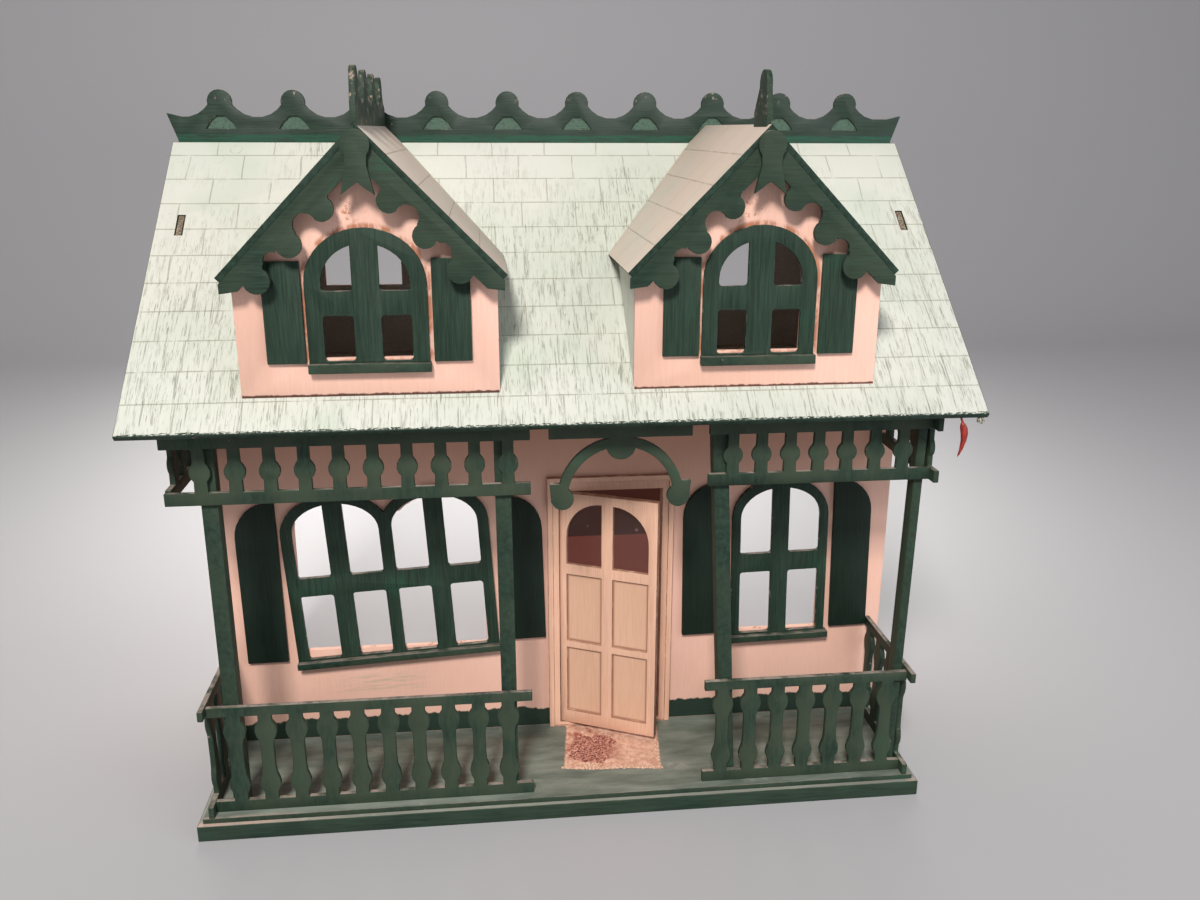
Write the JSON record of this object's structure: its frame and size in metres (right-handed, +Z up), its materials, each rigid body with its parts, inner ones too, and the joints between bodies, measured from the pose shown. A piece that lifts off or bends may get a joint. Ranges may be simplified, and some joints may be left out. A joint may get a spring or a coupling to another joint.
{
  "type": "dollhouse",
  "caption": "Open-backed wooden dollhouse with a railed front porch, arched shuttered windows, a swinging glazed door, twin gabled dormers and a knobbed ridge crest.",
  "frame": {"origin": "underside of the base board, on the house centre line, in the plane of the front face of the front wall", "axes": "+X to the right seen from the front, +Y towards the open back, +Z up"},
  "size_m": [0.468, 0.2284, 0.4321],
  "materials": {
    "green_paint": "dark green brushed house paint, worn pale on the edges",
    "pink_paint": "salmon pink brushed matt paint",
    "roof_paint": "pale mint cream paint with fine dark grain cracks",
    "natural_wood": "bare pale wood, lightly tinted",
    "deck_paint": "grey green worn paint",
    "clear_sheet": "clear sheet",
    "brass_wire": "plain wire",
    "red_pod": "glossy red"
  },
  "bodies": {
    "house": {"base_board": "green_paint", "window_left": "green_paint", "window_right": "green_paint", "window_sill_left": "green_paint", "window_sill_right": "green_paint", "shutter_left_outer": "green_paint", "shutter_left_inner": "green_paint", "shutter_right_inner": "green_paint", "shutter_right_outer": "green_paint", "floor_board": "deck_paint", "second_floor": "pink_paint", "front_wall": "pink_paint", "wall_left": "pink_paint", "wall_right": "pink_paint", "hall_back_wall": "pink_paint", "attic_back_wall": "pink_paint", "door_casing": "natural_wood", "roof_front": "roof_paint", "roof_rear": "roof_paint", "ridge_crest": "green_paint", "rail_front_left": "green_paint", "rail_front_right": "green_paint", "frieze_front_left": "green_paint", "frieze_front_right": "green_paint", "rail_side_left": "green_paint", "rail_side_right": "green_paint", "frieze_side_left": "green_paint", "frieze_side_right": "green_paint", "post_left_corner": "green_paint", "post_left_inner": "green_paint", "post_right_inner": "green_paint", "post_right_corner": "green_paint", "door_arch_bracket": "green_paint", "dormer_left_front": "pink_paint", "dormer_left_cheek_inner": "roof_paint", "dormer_left_cheek_outer": "roof_paint", "dormer_left_roof_inner": "roof_paint", "dormer_left_roof_outer": "roof_paint", "dormer_left_trim": "green_paint", "dormer_left_window": "green_paint", "dormer_left_sill": "green_paint", "dormer_left_shutter_left": "green_paint", "dormer_left_shutter_right": "green_paint", "dormer_left_crest": "green_paint", "dormer_right_front": "pink_paint", "dormer_right_cheek_inner": "roof_paint", "dormer_right_cheek_outer": "roof_paint", "dormer_right_roof_inner": "roof_paint", "dormer_right_roof_outer": "roof_paint", "dormer_right_trim": "green_paint", "dormer_right_window": "green_paint", "dormer_right_sill": "green_paint", "dormer_right_shutter_left": "green_paint", "dormer_right_shutter_right": "green_paint", "dormer_right_crest": "green_paint", "eave_pod": "red_pod"},
    "door": {"door_leaf": "natural_wood", "door_glass": "clear_sheet", "door_pin_top": "brass_wire", "door_pin_bottom": "brass_wire"}
  },
  "joints": [
    {"name": "door_hinge", "type": "hinge", "parent": "house", "child": "door", "pos_m": [0.0032, 0.0001, 0.099], "axis": [0, 0, -1], "range_deg": [-25, 65]}
  ]
}
